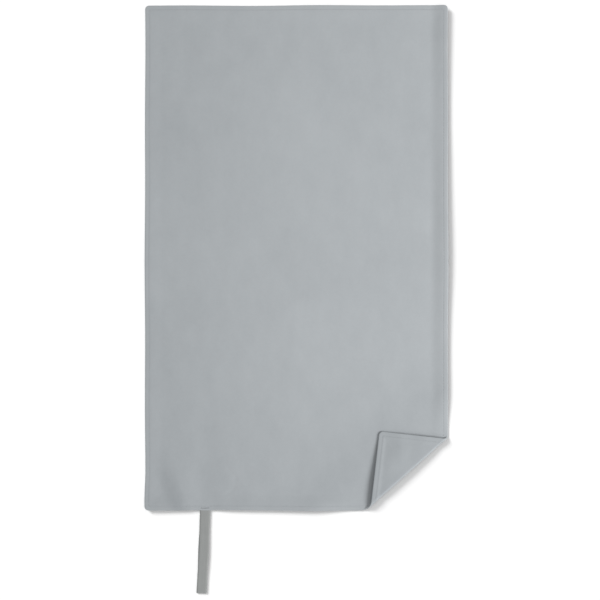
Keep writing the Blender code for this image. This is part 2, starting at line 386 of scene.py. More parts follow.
    def nap(self, x: Points, y: Points) -> Points:
        """Painted shade and light in the cloth's colour, which change slowly over the cloth.

        Args:
            x: Places across the flat cloth.
            y: Places along the flat cloth.

        Returns:
            A factor on the cloth's colour.
        """
        layout = self.layout
        from_left = (x - layout.left) / (layout.right - layout.left)
        up = (y - layout.bottom) / (layout.top - layout.bottom)
        # Painted shade: darker along the bottom edge, towards the left and towards both ends.
        shade = 1.0 - self.painted_shade_lower * bell(y - layout.bottom, 30 * MM)
        shade -= self.painted_shade_left * (1.0 - smooth(from_left / self.painted_shade_left_run))
        shade -= self.painted_shade_ends * smooth(np.abs(up - self.painted_shade_middle) * 2.6 - 0.45)
        # Painted shade: a dark patch on the left of the pucker line, by the loop.
        distance, side = self.distance_to_route(x, y, self.pucker_line)
        patch = bell(distance - 11 * MM, 9 * MM) * side * smooth((layout.bottom + 52 * MM - y) / (30 * MM))
        # Painted shade on the panel beside the turned corner, and painted light in a strip by the right
        # edge.
        by_corner = bell(layout.past_fold(x, y) + 42 * MM, 26 * MM)
        by_right = bell(x - layout.right + 6 * MM, 14 * MM) * bell(up - self.painted_shade_middle, 0.30)
        # Painted light towards the top and painted shade towards the bottom.
        shade += self.painted_shade_rise * (up - 0.5) + self.painted_light_right * by_right
        return shade - self.painted_shade_patch * patch - self.painted_shade_corner * by_corner

    def loop_bulge(self, x: Points, y: Points) -> Points:
        """How much the loop's tails swell the hem that holds them."""
        across = bell(x - self.layout.loop_x, self.loop_swell_width)
        return self.loop_swell * across * bell(y - self.layout.bottom, self.loop_pull_reach)

    def heights(self, x: Points, y: Points) -> tuple[Points, Points]:
        """Height of the front and the reverse face of the flat cloth.

        Args:
            x: Places across the flat cloth.
            y: Places along the flat cloth.

        Returns:
            The front face's heights, then the reverse face's.
        """
        edge = self.layout.edge_distance(x, y)
        lift = self.waviness(x, y)
        half = self.hem_thickness / 2
        round_share = np.clip(edge / half, 0.0, 1.0)
        round_height = half * np.sqrt(1.0 - np.square(1.0 - round_share))
        extra = self.hem_thickness - self.layout.cloth
        past_step = edge - self.hem_step_start
        fall = extra * (1.0 - smooth(past_step / self.hem_fall))
        groove = self.stitch_groove * bell(edge - self.stitch_inset, self.stitch_groove_width)
        front = half + round_height + fall - extra - groove + self.loop_bulge(x, y)
        reverse = half - round_height + fall * smooth(past_step / self.hem_step_run)
        return front + lift, reverse + groove + lift

    def round_corners(self, x: Points, y: Points) -> tuple[Points, Points]:
        """Pull the flat cloth's square corners in to round ones.

        Args:
            x: Places across the square-cornered cloth.
            y: Places along the square-cornered cloth.

        Returns:
            The places with round corners.
        """
        layout, radius = self.layout, self.corner_round
        side_x = np.where(x - layout.left < layout.right - x, -1.0, 1.0)
        side_y = np.where(y - layout.bottom < layout.top - y, -1.0, 1.0)
        edge_x = np.where(side_x < 0, layout.left, layout.right)
        edge_y = np.where(side_y < 0, layout.bottom, layout.top)
        out_x = radius - np.abs(edge_x - x)
        out_y = radius - np.abs(edge_y - y)
        inside = (out_x > 0) & (out_y > 0)
        shrink = np.maximum(out_x, out_y) / np.maximum(np.hypot(out_x, out_y), 1e-9)
        new_x = edge_x - side_x * (radius - out_x * shrink)
        new_y = edge_y - side_y * (radius - out_y * shrink)
        return np.where(inside, new_x, x), np.where(inside, new_y, y)

    def drift(self, x: Points, y: Points) -> tuple[Points, Points]:
        """Let the edges wander a little, as a sewn edge does, and pull the hem in at the loop.

        Args:
            x: Places across the flat cloth.
            y: Places along the flat cloth.

        Returns:
            The places after the drift.
        """
        layout = self.layout
        from_loop, up = x - layout.loop_x, y - layout.bottom
        past_fold = layout.past_fold(x, y)
        across = (x - (layout.left + layout.right) / 2) / ((layout.right - layout.left) / 2)
        along = (y - (layout.bottom + layout.top) / 2) / ((layout.top - layout.bottom) / 2)
        calm = smooth((-4 * MM - past_fold) / (40 * MM))
        side = sum(ripple.at(y) for ripple in self.side_ripples) - self.side_in
        flare = self.flare * bell(up - self.flare_up, self.flare_length)
        flare *= bell(x - layout.left, self.flare_reach)
        new_x = x + (side * np.abs(across) ** 6 * np.sign(across) - flare) * calm
        end = sum(ripple.at(x) for ripple in self.end_ripples)
        pull = self.loop_push * bell(from_loop, self.loop_push_width)
        pull -= self.loop_pull * bell(from_loop, self.loop_pull_width)
        pull *= bell(up, self.loop_pull_reach)
        new_y = y + (end * np.abs(along) ** 8 * np.sign(along) + pull) * calm
        trim = smooth((past_fold + 4 * MM) / self.corner_trim_run)
        trim *= smooth(1.0 - up / self.corner_trim_reach)
        return new_x, new_y + self.corner_trim * trim

    def roll_radius(self, x: Points, y: Points) -> Points:
        """How round the fold is: a soft roll at its lower end, and crisper towards its upper end.

        Args:
            x: Places across the flat cloth.
            y: Places along the flat cloth.

        Returns:
            The radius inside the bend at each place.
        """
        point, along = self.layout.fold_point, self.layout.fold_along
        run = (x - point.x) * along.x + (y - point.y) * along.y
        share = smooth((run - self.crisp_from) / (self.crisp_to - self.crisp_from))
        return self.soft_radius + (self.crisp_radius - self.soft_radius) * share

    def corner_sag(self, past_bend: Points, height: Points, x: Points, y: Points) -> Points:
        """How far the turned corner sags towards the panel.

        Args:
            past_bend: Distance past the bend, on the cloth.
            height: How high the turned corner would lie without the sag.
            x: Places where the turned corner lies, across.
            y: Places where the turned corner lies, along.

        Returns:
            The sag in metres.
        """
        layout = self.layout
        rest = self.corner_rest + self.waviness(x, y)
        sag = (height - rest) * smooth((past_bend - self.corner_drop_start) / self.corner_drop_run)
        from_valley = x - layout.right + self.valley_in
        share = smooth((y - layout.bottom - self.valley_up + 34 * MM) / (30 * MM))
        valley = self.valley_depth * bell(from_valley, self.valley_width)
        ridge = self.ridge_height * bell(from_valley + self.ridge_in, self.ridge_width)
        return sag + (valley - ridge) * share * smooth(past_bend / (12 * MM))

    def bend(self, x: Points, y: Points, z: Points) -> Points:
        """Turn the flat cloth's corner over its fold.

        Args:
            x: Places across the flat cloth.
            y: Places along the flat cloth.
            z: Heights above the table while the cloth is flat.

        Returns:
            One row of x, y and z for each place.
        """
        layout = self.layout
        distance = layout.past_fold(x, y)
        radius = self.roll_radius(x, y)
        middle = radius + layout.cloth / 2
        angle = np.clip((distance + middle) / radius, 0.0, math.pi)
        arm = middle - z
        past_bend = distance + middle - math.pi * radius
        beyond = past_bend > 0
        out = np.where(beyond, -middle - past_bend, arm * np.sin(angle) - middle)
        out = np.where(distance > -middle, out, distance)
        new_x = x + (out - distance) * layout.fold_out.x
        new_y = y + (out - distance) * layout.fold_out.y
        sag = self.corner_sag(np.maximum(past_bend, 0.0), 2 * middle, new_x, new_y)
        new_z = middle - arm * np.cos(angle) - np.where(beyond, sag, 0.0)
        return np.stack([new_x, new_y, np.where(distance > -middle, new_z, z)], axis=1)

    def place(self, x: Points, y: Points, z: Points) -> Points:
        """Take places on the square flat cloth to where they lie.

        Args:
            x: Places across the flat cloth.
            y: Places along the flat cloth.
            z: Heights above the table while the cloth is flat.

        Returns:
            One row of x, y and z for each place.
        """
        round_x, round_y = self.round_corners(x, y)
        return self.bend(*self.drift(round_x, round_y), z)


# ---------------------------------------------------------------------------------------------
# Mesh help
# ---------------------------------------------------------------------------------------------


def new_piece(
    name: str,
    places: Points,
    faces: Iterable[Sequence[int]],
    flat: Points | None = None,
    nap: Points | None = None,
) -> bpy.types.Object:
    """Make a smooth-shaded piece from places and faces.

    Args:
        name: The piece's name.
        places: One row of x, y and z for each vertex.
        faces: The vertices of each face.
        flat: Where each vertex lies on the flat goods, for its pattern.
        nap: The painted shade and light at each vertex, where the piece has them.

    Returns:
        The new object, linked to the scene.
    """
    mesh = bpy.data.meshes.new(name)
    mesh.from_pydata(places.tolist(), [], list(faces))
    mesh.update()
    shape = bmesh.new()
    shape.from_mesh(mesh)
    bmesh.ops.recalc_face_normals(shape, faces=shape.faces)
    shape.to_mesh(mesh)
    shape.free()
    attribute = mesh.attributes.new("flat", "FLOAT_VECTOR", "POINT")
    source = places if flat is None else flat
    attribute.data.foreach_set("vector", np.ascontiguousarray(source, dtype=np.float32).ravel())
    # Store the painted shade and light on the vertices.
    if nap is not None:
        mesh.attributes.new("nap", "FLOAT", "POINT").data.foreach_set("value", nap.astype(np.float32))
    mesh.shade_smooth()
    piece = bpy.data.objects.new(name, mesh)
    bpy.context.scene.collection.objects.link(piece)
    return piece


def dress(piece: bpy.types.Object, material: bpy.types.Material) -> None:
    """Give a piece its finish as its only material.

    Args:
        piece: The piece.
        material: Its finish.
    """
    piece.data.materials.clear()
    piece.data.materials.append(material)


def spaced(start: float, stop: float, step: float) -> list[float]:
    """Evenly spaced values between two ends, both included."""
    count = max(1, round((stop - start) / step))
    return [start + (stop - start) * index / count for index in range(count + 1)]


# ---------------------------------------------------------------------------------------------
# Shader help
# ---------------------------------------------------------------------------------------------


class Value:
    """Wraps a number socket, so that shader maths reads as plain arithmetic."""

    def __init__(self, bench: "NodeBench", socket: bpy.types.NodeSocket) -> None:
        """Keep the socket and the bench that makes its nodes.

        Args:
            bench: What makes the nodes.
            socket: The number socket.
        """
        self.bench = bench
        self.socket = socket

    def _math(self, operation: str, first: Any, second: Any) -> "Value":
        """Add one Math node."""
        node = self.bench.node("ShaderNodeMath", {"operation": operation}, {0: first, 1: second})
        return Value(self.bench, node.outputs[0])

    def __add__(self, other: Any) -> "Value":
        """Sum."""
        return self._math("ADD", self, other)

    __radd__ = __add__

    def __mul__(self, other: Any) -> "Value":
        """Product."""
        return self._math("MULTIPLY", self, other)

    __rmul__ = __mul__

    def __sub__(self, other: Any) -> "Value":
        """Difference."""
        return self._math("SUBTRACT", self, other)

    def __rsub__(self, other: Any) -> "Value":
        """Difference from another value."""
        return self._math("SUBTRACT", other, self)

    def sine(self) -> "Value":
        """Sine of an angle in radians."""
        return self._math("SINE", self, 0.0)


class NodeBench:
    """Makes the nodes of one material."""

    def __init__(self, name: str) -> None:
        """Start an empty material.

        Args:
            name: The material's name.
        """
        self.material = bpy.data.materials.new(name)
        self.material.use_nodes = True
        self.tree = self.material.node_tree
        self.tree.nodes.clear()

    def node(self, kind: str, settings: Mapping[str, Any], sockets: Mapping[Any, Any]) -> bpy.types.Node:
        """Add one node.

        Args:
            kind: The node's type.
            settings: Its settings, which are set first. "stops" are a ramp's positions and colours.
            sockets: A value or a link for each input, by name or by number.

        Returns:
            The new node.
        """
        node = self.tree.nodes.new(kind)
        for key, setting in settings.items():
            if key == "stops":
                ramp = node.color_ramp
                while len(ramp.elements) < len(setting):
                    ramp.elements.new(0.5)
                for element, (position, colour) in zip(ramp.elements, setting):
                    element.position = position
                    element.color = (*colour, 1.0)
            else:
                setattr(node, key, setting)
        for key, content in sockets.items():
            self.feed(node.inputs[key], content)
        return node

    def feed(self, socket: bpy.types.NodeSocket, content: Any) -> None:
        """Set an input to a value, or link it.

        Args:
            socket: The input.
            content: A plain value, another node's socket or a wrapped one.
        """
        if isinstance(content, Value):
            content = content.socket
        if isinstance(content, bpy.types.NodeSocket):
            self.tree.links.new(content, socket)
        else:
            socket.default_value = content

    def flat_place(self) -> bpy.types.NodeSocket:
        """Where a point lies on the flat goods, in metres."""
        settings = {"attribute_type": "GEOMETRY", "attribute_name": "flat"}
        return self.node("ShaderNodeAttribute", settings, {}).outputs["Vector"]

    def nap(self) -> Value:
        """The painted shade and light at a point, stored on the vertices."""
        settings = {"attribute_type": "GEOMETRY", "attribute_name": "nap"}
        return Value(self, self.node("ShaderNodeAttribute", settings, {}).outputs["Fac"])

    def stretch(self, place: bpy.types.NodeSocket, scale: Sequence[float]) -> bpy.types.NodeSocket:
        """Scale a place along each axis."""
        node = self.node("ShaderNodeVectorMath", {"operation": "MULTIPLY"}, {0: place, 1: scale})
        return node.outputs[0]

    def part(self, place: bpy.types.NodeSocket, axis: int) -> Value:
        """One coordinate of a place."""
        return Value(self, self.node("ShaderNodeSeparateXYZ", {}, {0: place}).outputs[axis])

    def noise(self, place: bpy.types.NodeSocket, scale: float, detail: float, rough: float) -> Value:
        """Cloudy noise from 0 to 1 with about `scale` patches in a metre."""
        sockets = {"Vector": place, "Scale": scale, "Detail": detail, "Roughness": rough}
        return Value(self, self.node("ShaderNodeTexNoise", {}, sockets).outputs[0])

    def blend(self, share: Value, low: tuple[float, ...], high: tuple[float, ...]) -> bpy.types.NodeSocket:
        """Mix two colours.

        Args:
            share: 0 for the low colour, 1 for the high one.
            low: The low colour.
            high: The high colour.

        Returns:
            The mixed colour.
        """
        settings = {"data_type": "RGBA", "clamp_factor": True}
        sockets = {0: share, 6: (*low, 1.0), 7: (*high, 1.0)}
        return self.node("ShaderNodeMix", settings, sockets).outputs[2]

    def finish(self, sockets: Mapping[str, Any], height: Value, relief: float) -> bpy.types.Material:
        """Close the material with its shader.

        Args:
            sockets: Values or links of the shader's inputs.
            height: The fine relief, from 0 to 1.
            relief: How deep that relief is, in metres.

        Returns:
            The finished material.
        """
        bump = self.node("ShaderNodeBump", {}, {"Height": height, "Distance": relief, "Strength": 1.0})
        inputs = dict(sockets)
        inputs["Normal"] = bump.outputs[0]
        shader = self.node("ShaderNodeBsdfPrincipled", {}, inputs)
        self.node("ShaderNodeOutputMaterial", {}, {"Surface": shader.outputs[0]})
        return self.material


@dataclass(frozen=True)
class ClothFinish:
    """Brushed microfibre: a short nap over a fine knit, dyed one grey that the nap clouds, with painted
    shade and light from the vertices laid over that colour.
    """

    dark: tuple[float, float, float] = (0.260, 0.279, 0.293)
    light: tuple[float, float, float] = (0.425, 0.447, 0.462)
    # How strongly the painted shade and light on the vertices change the colour.
    painted_shade_gain: float = 2.1
    reverse_shade: float = 0.15
    wale_pitch: float = 1.0 * MM
    course_pitch: float = 0.8 * MM
    nap_relief: float = 0.10 * MM

    def build(self, name: str) -> bpy.types.Material:
        """Make the material.

        Args:
            name: The material's name.

        Returns:
            The finished material.
        """
        bench = NodeBench(name)
        place = bench.flat_place()
        clouds = bench.noise(place, 9.0, 3.0, 0.55)
        patches = bench.noise(bench.stretch(place, (1.0, 0.6, 1.0)), 55.0, 3.0, 0.6)
        nap = bench.noise(place, 420.0, 4.0, 0.65)
        fibres = bench.noise(bench.stretch(place, (1.0, 0.35, 1.0)), 2600.0, 3.0, 0.7)
        shade = clouds * 0.35 + patches * 0.30 + nap * 0.20 + fibres * 0.15
        reverse = 0.5 - bench.part(place, 2) * 500.0
        # The vertices' painted shade and light darken and lighten the colour here.
        shade = (shade - 0.5) * 0.8 + 0.5 + (bench.nap() - 1.0) * self.painted_shade_gain
        shade = shade - reverse * self.reverse_shade
        colour = bench.blend(shade, self.dark, self.light)
        wales = (bench.part(place, 0) * (2 * math.pi / self.wale_pitch)).sine()
        courses = (bench.part(place, 1) * (2 * math.pi / self.course_pitch)).sine()
        knit = wales * 0.5 + courses * 0.25
        height = fibres * 0.75 + nap * 0.35 + knit * 0.07
        roughness = nap * 0.10 + 0.84
        shader = {
            "Base Color": colour,
            "Roughness": roughness,
            "Sheen Weight": 0.18,
            "Sheen Roughness": 0.55,
            "Sheen Tint": (0.92, 0.95, 1.0, 1.0),
            "Specular IOR Level": 0.25,
        }
        return bench.finish(shader, height, self.nap_relief)


@dataclass(frozen=True)
class ThreadFinish:
    """Spun polyester sewing thread with a fine twist."""

    dark: tuple[float, float, float] = (0.280, 0.300, 0.315)
    light: tuple[float, float, float] = (0.380, 0.398, 0.412)
    twist_pitch: float = 0.45 * MM
    relief: float = 0.05 * MM

    def build(self, name: str) -> bpy.types.Material:
        """Make the material.

        Args:
            name: The material's name.

        Returns:
            The finished material.
        """
        bench = NodeBench(name)
        place = bench.flat_place()
        slant = bench.part(place, 0) + bench.part(place, 1)
        twist = (slant * (2 * math.pi / self.twist_pitch)).sine() * 0.5 + 0.5
        fuzz = bench.noise(place, 3000.0, 2.0, 0.6)
        colour = bench.blend(twist * 0.6 + fuzz * 0.4, self.dark, self.light)
        shader = {
            "Base Color": colour,
            "Roughness": fuzz * 0.2 + 0.5,
            "Specular IOR Level": 0.4,
        }
        return bench.finish(shader, twist * 0.7 + fuzz * 0.3, self.relief)


@dataclass(frozen=True)
class TapeFinish:
    """Woven tape: ribs across it, warp threads along it, in a darker, greener grey than the cloth."""

    dark: tuple[float, float, float] = (0.198, 0.206, 0.203)
    light: tuple[float, float, float] = (0.295, 0.304, 0.300)
    warp_pitch: float = 0.62 * MM
    rib_pitch: float = 0.80 * MM
    relief: float = 0.09 * MM

    def build(self, name: str) -> bpy.types.Material:
        """Make the material.

        Args:
            name: The material's name.

        Returns:
            The finished material.
        """
        bench = NodeBench(name)
        place = bench.flat_place()
        warp = (bench.part(place, 0) * (2 * math.pi / self.warp_pitch)).sine() * 0.5 + 0.5
        ribs = (bench.part(place, 1) * (2 * math.pi / self.rib_pitch)).sine() * 0.5 + 0.5
        streaks = bench.noise(bench.stretch(place, (1.0, 0.03, 1.0)), 900.0, 2.0, 0.5)
        wear = bench.noise(place, 110.0, 3.0, 0.6)
        fuzz = bench.noise(place, 2800.0, 2.0, 0.6)
        shade = ribs * 0.20 + warp * 0.18 + streaks * 0.27 + wear * 0.20 + fuzz * 0.15
        colour = bench.blend((shade - 0.5) * 1.8 + 0.5, self.dark, self.light)
        shader = {
            "Base Color": colour,
            "Roughness": wear * 0.2 + 0.62,
            "Sheen Weight": 0.08,
            "Specular IOR Level": 0.35,
        }
        return bench.finish(shader, ribs * 0.35 + warp * 0.4 + fuzz * 0.25, self.relief)


@dataclass(frozen=True)
class FloorFinish:
    """A plain pale sweep of matt paper."""

    colour: tuple[float, float, float] = (0.93, 0.93, 0.93)

    def build(self, name: str) -> bpy.types.Material:
        """Make the material.

        Args:
            name: The material's name.

        Returns:
            The finished material.
        """
        bench = NodeBench(name)
        place = bench.node("ShaderNodeTexCoord", {}, {}).outputs["Object"]
        grain = bench.noise(place, 900.0, 2.0, 0.5)
        shader = {
            "Base Color": (*self.colour, 1.0),
            "Roughness": grain * 0.05 + 0.80,
            "Specular IOR Level": 0.2,
        }
        return bench.finish(shader, grain, 0.01 * MM)


# ---------------------------------------------------------------------------------------------
# The cloth
# ---------------------------------------------------------------------------------------------


@dataclass
class TowelCloth:
    """The hemmed cloth, drawn flat as one closed sheet, cut at its folds and bent into place."""

    shape: ClothShape
    coarse: float = 4.0 * MM
    medium: float = 2.2 * MM
    fine: float = 1.1 * MM
    hem_lines: tuple[float, ...] = (
        1.5, 2.4, 3.2, 3.7, 3.95, 4.2, 4.45, 4.75,
        5.1, 5.45, 5.85, 6.8, 8.2, 9.8, 11.6, 13.6,
    )
    edge_steps: int = 5
    bend_steps: int = 22
    join_below_middle: float = 30.0 * MM
    middle_bend: float = 10.0 * MM
    crease_bend: float = 1.8 * MM
    pieces: dict[str, bpy.types.Object] = field(default_factory=dict)

    @property
    def join_line(self) -> float:
        """Where the upper and the lower piece of the cloth meet, below the middle fold."""
        return self.shape.layout.middle - self.join_below_middle

    def near_edge_lines(self) -> list[float]:
        """Distances in from an edge where the mesh has a line.

        Returns:
            The distances round the edge, then those over the hem and its fall.
        """
        half = self.shape.hem_thickness / 2
        turn = math.pi / 2 / self.edge_steps
        turned = [half * (1 - math.cos(turn * step)) for step in range(self.edge_steps + 1)]
        return turned + [line * MM for line in self.hem_lines]

    def lines(self, low: float, high: float, breaks: Sequence[tuple[float, float]]) -> np.ndarray:
        """Grid lines from one edge to the other, close together at both hems.

        Args:
            low: The lower edge.
            high: The higher edge.
            breaks: Ends of the stretches between the hems, each with the spacing up to it.

        Returns:
            The places of the lines.
        """
        near = self.near_edge_lines()
        places = [low + value for value in near]
        here = places[-1]
        for stop, step in [*breaks, (high - near[-1], self.coarse)]:
            stop = min(stop, high - near[-1])
            if stop - here > 0.5 * MM:
                places += spaced(here, stop, step)[1:]
                here = stop
        places += [high - value for value in reversed(near[:-1])]
        return np.array(places)

    def flat_sheet(self) -> bmesh.types.BMesh:
        """The flat cloth as one closed sheet with both faces and round edges.

        Returns:
            The sheet, not yet bent. Its heights are worked out after the cuts.
        """
        layout = self.shape.layout
        across = (
            (layout.loop_x - 48 * MM, self.medium),
            (layout.loop_x + 36 * MM, self.fine),
            (layout.right, self.medium),
        )
        along = (
            (layout.bottom + 52 * MM, self.fine),
            (layout.bottom + 110 * MM, self.medium),
            (layout.top, self.coarse),
        )
        xs = self.lines(layout.left, layout.right, across)
        ys = self.lines(layout.bottom, layout.top, along)
        ys = np.sort(np.append(ys[np.abs(ys - self.join_line) > 0.8 * MM], self.join_line))
        sheet = bmesh.new()
        side = sheet.verts.layers.int.new("side")
        grids = {}
        last_x, last_y = len(xs) - 1, len(ys) - 1
        for face in Face:
            for i, x in enumerate(xs):
                for j, y in enumerate(ys):
                    on_rim = i in (0, last_x) or j in (0, last_y)
                    if on_rim and face is Face.REVERSE:
                        grids[face, i, j] = grids[Face.FRONT, i, j]
                        continue
                    vertex = sheet.verts.new((x, y, 0.0))
                    vertex[side] = 0 if on_rim else face.value
                    grids[face, i, j] = vertex
        for face in Face:
            for i in range(last_x):
                for j in range(last_y):
                    around = ((i, j), (i + 1, j), (i + 1, j + 1), (i, j + 1))
                    ring = [grids[face, column, row] for column, row in around]
                    sheet.faces.new(ring if face is Face.FRONT else ring[::-1])
        return sheet

    def cut_lines(self, sheet: bmesh.types.BMesh) -> None:
        """Cut the flat sheet along its bend, so that it can bend round.

        Args:
            sheet: The flat sheet.
        """
        layout = self.shape.layout
        step = (layout.fold_end - layout.fold_start) / self.bend_steps
        out = layout.fold_out.to_2d()
        for distance in spaced(layout.fold_start, layout.fold_end, step):
            point = layout.fold_point + layout.fold_out * distance
            close = []
            for face in sheet.faces:
                centre = face.calc_center_median()
                beside_fold = centre.x > layout.fold_point.x - 22 * MM
                if beside_fold and abs((centre - point).to_2d().dot(out)) < 8 * MM:
                    close.append(face)
            corners = dict.fromkeys(vertex for face in close for vertex in face.verts)
            edges = dict.fromkeys(edge for face in close for edge in face.edges)
            geometry = [*corners, *edges, *close]
            plane = {"plane_co": (point.x, point.y, 0.0), "plane_no": tuple(layout.fold_out), "dist": 1e-7}
            bmesh.ops.bisect_plane(sheet, geom=geometry, **plane)
        LOG.info("cloth cut %d times along its bend", self.bend_steps + 1)

    def piece_of(self, x: float, y: float) -> str:
        """Which piece of the cloth a place on the flat cloth belongs to.

        Args:
            x: The place across the flat cloth.
            y: The place along it.

        Returns:
            The piece's name.
        """
        layout = self.shape.layout
        distance = float(layout.past_fold(np.array(x), np.array(y)))
        if y > self.join_line:
            return "cloth_upper"
        if distance < layout.fold_start:
            return "cloth_lower"
        return "cloth_crease" if distance < layout.fold_end else "cloth_corner"

    def build(self) -> None:
        """Draw, cut, bend and part the cloth."""
        sheet = self.flat_sheet()
        self.cut_lines(sheet)
        side = sheet.verts.layers.int["side"]
        sheet.verts.index_update()
        vertices = list(sheet.verts)
        x = np.array([v.co.x for v in vertices])
        y = np.array([v.co.y for v in vertices])
        sides = np.array([v[side] for v in vertices])
        front, reverse = self.shape.heights(x, y)
        z = np.where(sides > 0, front, np.where(sides < 0, reverse, (front + reverse) / 2))
        placed = self.shape.place(x, y, z)
        flat = np.stack([x, y, sides * MM], axis=1)
        # Painted shade and light for each vertex, which the cloth's finish lays into its colour.
        nap = self.shape.nap(x, y)
        groups: dict[str, list[list[int]]] = {}
        for face in sheet.faces:
            centre = face.calc_center_median()
            groups.setdefault(self.piece_of(centre.x, centre.y), []).append([v.index for v in face.verts])
        sheet.free()
        for name, faces in sorted(groups.items()):
            faces = faces + self.cut_walls(faces, x, y)
            used = sorted({index for face in faces for index in face})
            renumbered = {old: new for new, old in enumerate(used)}
            kept = [[renumbered[index] for index in face] for face in faces]
            self.pieces[name] = new_piece(name, placed[used], kept, flat[used], nap[used])
            LOG.info("%s: %d faces", name, len(kept))

    @staticmethod
    def cut_walls(faces: Sequence[Sequence[int]], x: Points, y: Points) -> list[list[int]]:
        """Close a piece where it was cut from its neighbour.

        Args:
            faces: The piece's faces.
            x: Where each vertex lies across the flat cloth.
            y: Where each vertex lies along the flat cloth.

        Returns:
            The faces that join the front to the reverse along each cut.
        """
        seen: dict[frozenset[int], tuple[int, int]] = {}
        for face in faces:
            for a, b in zip(face, [*face[1:], face[0]]):
                key = frozenset((a, b))
                if key in seen:
                    del seen[key]
                else:
                    seen[key] = (a, b)
        pairs: dict[frozenset[tuple[int, int]], list[tuple[int, int]]] = {}
        for a, b in seen.values():
            ends = frozenset((round(x[i] / 2e-7), round(y[i] / 2e-7)) for i in (a, b))
            pairs.setdefault(ends, []).append((a, b))
        walls = []
        for edges in pairs.values():
            if len(edges) == 2:
                (a, b), (c, d) = edges
                if math.hypot(x[a] - x[c], y[a] - y[c]) < math.hypot(x[a] - x[d], y[a] - y[d]):
                    c, d = d, c
                ring = [b, a, d, c]
                walls.append([v for k, v in enumerate(ring) if v not in ring[:k]])
        return [wall for wall in walls if len(wall) > 2]

    def settle(self, material: bpy.types.Material) -> None:
        """Args:
            material: The cloth's finish.
        """
        layout = self.shape.layout
        width = layout.right - layout.left
        for piece in self.pieces.values():
            dress(piece, material)
            piece.data.set_sharp_from_angle(angle=math.radians(50))
        upper, lower = self.pieces["cloth_upper"], self.pieces["cloth_lower"]
        crease, corner = self.pieces["cloth_crease"], self.pieces["cloth_corner"]
        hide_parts("panel_upper", "hem_top", "hem_left_upper", "hem_right_upper")
        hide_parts("panel_lower", "hem_bottom", "hem_left_lower", "hem_right_lower")
        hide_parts("crease_under", "crease_over")
        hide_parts("corner_panel", "corner_hem_side", "corner_hem_end")
        self.bend_middle(upper)
        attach(lower, Body.LOWER.value)
        self.bend_corner(crease)
        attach(corner, Body.CORNER.value)
        lower_length = self.join_line - layout.bottom
        start, end = self.edge_lengths(layout.fold_start), self.edge_lengths(layout.fold_end)
        bend_length = (start[2] + end[2]) / 2
        layout.top - self.join_line
        width * lower_length - start[0] * start[1] / 2
        end[0] * end[1] / 2

    def edge_lengths(self, distance: float) -> tuple[float, float, float]:
        """Measure the corner's triangle past a line beside its fold.

        Args:
            distance: How far out that line is from the fold line.

        Returns:
            Its leg along the bottom edge, its leg along the side edge and its long side.
        """
        layout = self.shape.layout
        corner = Vector((layout.right, layout.bottom, 0.0))
        height = (corner - layout.fold_point).dot(layout.fold_out) - distance
        end_leg = height / layout.fold_out.x
        side_leg = height / -layout.fold_out.y
        return end_leg, side_leg, math.hypot(end_leg, side_leg)

    def bend_middle(self, piece: bpy.types.Object) -> None:
        """Bake a piece's transform into its mesh. The span round the middle fold is worked out, but nothing
        uses it.

        Args:
            piece: The piece of cloth, or its stitches.
        """
        y = self.shape.layout.middle
        start, end = (0.0, y - self.middle_bend, 0.0), (0.0, y + self.middle_bend, 0.0)
        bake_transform(piece)

    def bend_corner(self, piece: bpy.types.Object) -> None:
        """Bake a piece's transform into its mesh. An axis along the turned corner's fold is worked out, but
        nothing uses it.

        Args:
            piece: The piece of cloth, or its stitches.
        """
        layout = self.shape.layout
        fall = (self.shape.soft_radius - self.shape.crisp_radius) / self.shape.crisp_to
        middle = self.shape.soft_radius + layout.cloth / 2 + 0.2 * MM
        upward = (layout.fold_along * fall + Vector((0.0, 0.0, 1.0))) * (self.crease_bend / 2)
        centre = layout.fold_point + Vector((0.0, 0.0, middle))
        start, end = tuple(centre - upward), tuple(centre + upward)
        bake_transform(piece)


# ---------------------------------------------------------------------------------------------
# Stitches
# ---------------------------------------------------------------------------------------------


StitchRow = tuple[float, float, float, float]


